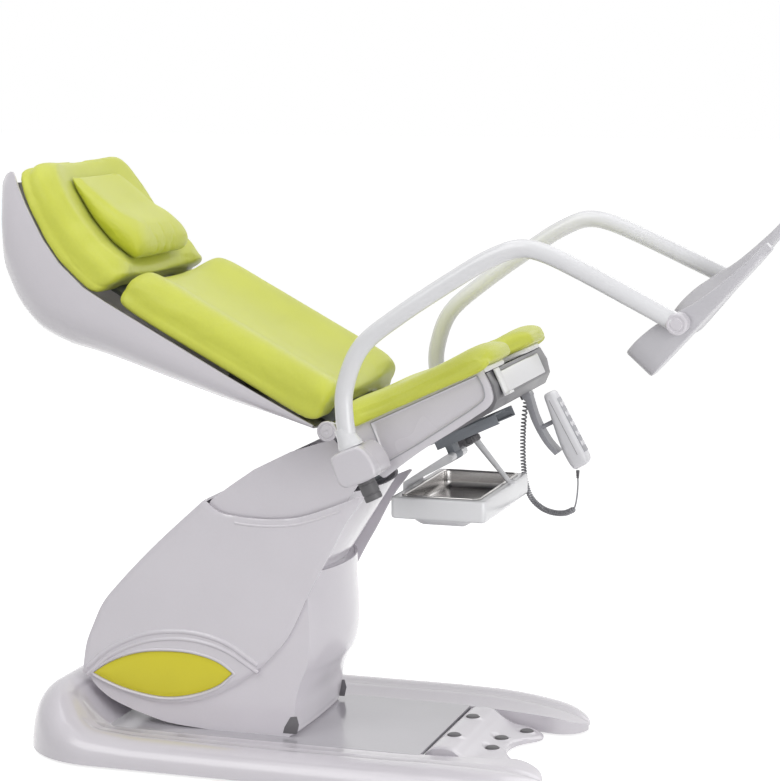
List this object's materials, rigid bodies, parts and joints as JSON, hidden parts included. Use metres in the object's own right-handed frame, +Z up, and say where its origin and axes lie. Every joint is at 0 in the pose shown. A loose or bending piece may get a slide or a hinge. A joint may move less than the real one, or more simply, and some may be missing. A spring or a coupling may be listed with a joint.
{
  "type": "gynecological chair",
  "caption": "Gynecological examination chair: slanted lift column on a horseshoe base, tilting seat, hinged back, leg supports with foot plates, basin tray, foot buttons and handset.",
  "frame": {"origin": "on the floor, under the middle floor pad below the lift column", "axes": "+X towards the foot end, +Y to the seated person's left, +Z up"},
  "size_m": [1.7237, 0.756, 1.308],
  "materials": {
    "shell_grey": "glossy",
    "steel_frame": "powder coat",
    "cord_rubber": "matt",
    "lime_trim": "satin",
    "white_plastic": "satin",
    "motor_black": "satin",
    "dark_plastic": "satin",
    "aluminium": "satin",
    "stainless": "brushed",
    "lime_upholstery": "soft satin",
    "cover_grey": "glossy",
    "dark_housing": "satin",
    "mid_grey": "satin",
    "light_paint": "satin",
    "handset_grey": "satin"
  },
  "bodies": {
    "base": {"base_cover": "shell_grey", "base_frame": "steel_frame", "floor_pads": "cord_rubber", "foot_panel": "shell_grey", "front_skirt": "shell_grey", "side_shell_right": "shell_grey", "side_shell_left": "shell_grey", "rear_cover": "shell_grey", "accent_insert_right": "lime_trim", "accent_insert_left": "lime_trim", "guide_mast": "steel_frame", "guide_pads": "white_plastic", "lift_motor": "motor_black", "mains_inlet": "dark_plastic"},
    "upper": {"upper_shell": "shell_grey", "carriage": "aluminium", "lift_rod": "stainless", "carrier_head": "steel_frame", "tilt_shaft": "stainless"},
    "seat": {"seat_frame": "steel_frame", "seat_pan": "white_plastic", "seat_cushion": "lime_upholstery", "seat_side_right": "cover_grey", "seat_side_left": "cover_grey", "seat_front_housing": "dark_housing", "leaf_guide": "white_plastic", "tray_rails": "stainless", "handset_holder": "mid_grey", "cord_socket": "dark_plastic", "cord_coil": "cord_rubber"},
    "back": {"back_frame": "steel_frame", "back_shell": "shell_grey", "back_cushion": "lime_upholstery", "head_cushion": "lime_upholstery"},
    "bracket_right": {"leg_bracket_right": "cover_grey", "clamp_sleeve_right": "dark_plastic"},
    "bracket_left": {"leg_bracket_left": "cover_grey", "clamp_sleeve_left": "dark_plastic"},
    "leg_right": {"leg_tube_right": "light_paint"},
    "leg_left": {"leg_tube_left": "light_paint"},
    "foot_right": {"foot_plate_right": "mid_grey"},
    "foot_left": {"foot_plate_left": "mid_grey"},
    "leaf": {"front_leaf": "white_plastic"},
    "runner": {"tray_runner": "stainless"},
    "tray_arm": {"tray_hanger": "light_paint", "tray": "light_paint"},
    "basin_pan": {"basin": "stainless"},
    "knob": {"tray_knob": "dark_plastic"},
    "pillow": {"neck_pillow": "lime_upholstery"},
    "control": {"handset": "handset_grey", "strain_relief": "dark_plastic", "cord_lead": "cord_rubber"},
    "switch": {"mains_switch": "dark_plastic"},
    "button_1": {"foot_button_1": "dark_plastic"},
    "button_2": {"foot_button_2": "dark_plastic"},
    "button_3": {"foot_button_3": "dark_plastic"},
    "button_4": {"foot_button_4": "dark_plastic"},
    "button_5": {"foot_button_5": "dark_plastic"},
    "button_6": {"foot_button_6": "dark_plastic"}
  },
  "joints": [
    {"name": "lift_slide", "type": "slide", "parent": "base", "child": "upper", "axis": [0.5299, 0, 0.848], "range_m": [-0.08, 0.25]},
    {"name": "seat_tilt", "type": "hinge", "parent": "upper", "child": "seat", "pos_m": [0.092, 0, 0.744], "axis": [0, 1, 0], "range_deg": [-5, 25]},
    {"name": "back_hinge", "type": "hinge", "parent": "upper", "child": "back", "pos_m": [0.092, 0, 0.744], "axis": [0, 1, 0], "range_deg": [-28, 18]},
    {"name": "leg_raise_right", "type": "hinge", "parent": "seat", "child": "bracket_right", "pos_m": [0.1958, -0.29, 0.6964], "axis": [0, 1, 0], "range_deg": [-25, 15]},
    {"name": "leg_raise_left", "type": "hinge", "parent": "seat", "child": "bracket_left", "pos_m": [0.1958, 0.29, 0.6964], "axis": [0, 1, 0], "range_deg": [-25, 15]},
    {"name": "leg_swivel_right", "type": "hinge", "parent": "bracket_right", "child": "leg_right", "pos_m": [0.1958, -0.343, 0.6964], "axis": [-0.4226, 0, 0.9063], "range_deg": [-45, 10]},
    {"name": "leg_swivel_left", "type": "hinge", "parent": "bracket_left", "child": "leg_left", "pos_m": [0.1958, 0.343, 0.6964], "axis": [-0.4617, 0, 0.887], "range_deg": [-10, 45]},
    {"name": "foot_pivot_right", "type": "hinge", "parent": "leg_right", "child": "foot_right", "pos_m": [0.8547, -0.31, 1.01], "axis": [0, 1, 0], "range_deg": [-25, 25]},
    {"name": "foot_pivot_left", "type": "hinge", "parent": "leg_left", "child": "foot_left", "pos_m": [0.8404, 0.31, 1.0384], "axis": [0, 1, 0], "range_deg": [-25, 25]},
    {"name": "leaf_slide", "type": "slide", "parent": "seat", "child": "leaf", "axis": [0.9063, 0, 0.4226], "range_m": [0, 0.2]},
    {"name": "tray_slide", "type": "slide", "parent": "seat", "child": "runner", "axis": [0.9063, 0, 0.4226], "range_m": [0, 0.05]},
    {"name": "tray_level", "type": "hinge", "parent": "runner", "child": "tray_arm", "pos_m": [0.305, 0, 0.6657], "axis": [0, 1, 0], "range_deg": [-25, 5]},
    {"name": "basin_lift", "type": "slide", "parent": "tray_arm", "child": "basin_pan", "axis": [0, 0, 1], "range_m": [0, 0.005]},
    {"name": "knob_turn", "type": "hinge", "parent": "runner", "child": "knob", "pos_m": [0.3415, 0, 0.7059], "axis": [-0.4226, 0, 0.9063], "range_deg": [-90, 90]},
    {"name": "pillow_off", "type": "slide", "parent": "back", "child": "pillow", "axis": [0.8572, 0, 0.515], "range_m": [0, 0.1]},
    {"name": "handset_off", "type": "slide", "parent": "seat", "child": "control", "axis": [0.8746, 0, 0.4848], "range_m": [0, 0.05]},
    {"name": "mains_rocker", "type": "hinge", "parent": "base", "child": "switch", "pos_m": [-0.6072, 0.027, 0.043], "axis": [0, 1, 0], "range_deg": [-8, 8]},
    {"name": "button_press_1", "type": "slide", "parent": "base", "child": "button_1", "axis": [0, 0, -1], "range_m": [0, 0.004], "stiffness_N_per_m": 600},
    {"name": "button_press_2", "type": "slide", "parent": "base", "child": "button_2", "axis": [0, 0, -1], "range_m": [0, 0.004], "stiffness_N_per_m": 600},
    {"name": "button_press_3", "type": "slide", "parent": "base", "child": "button_3", "axis": [0, 0, -1], "range_m": [0, 0.004], "stiffness_N_per_m": 600},
    {"name": "button_press_4", "type": "slide", "parent": "base", "child": "button_4", "axis": [0, 0, -1], "range_m": [0, 0.004], "stiffness_N_per_m": 600},
    {"name": "button_press_5", "type": "slide", "parent": "base", "child": "button_5", "axis": [0, 0, -1], "range_m": [0, 0.004], "stiffness_N_per_m": 600},
    {"name": "button_press_6", "type": "slide", "parent": "base", "child": "button_6", "axis": [0, 0, -1], "range_m": [0, 0.004], "stiffness_N_per_m": 600}
  ],
  "couplings": [
    {"joint": "tray_level", "follows": "seat_tilt", "ratio": -1}
  ]
}
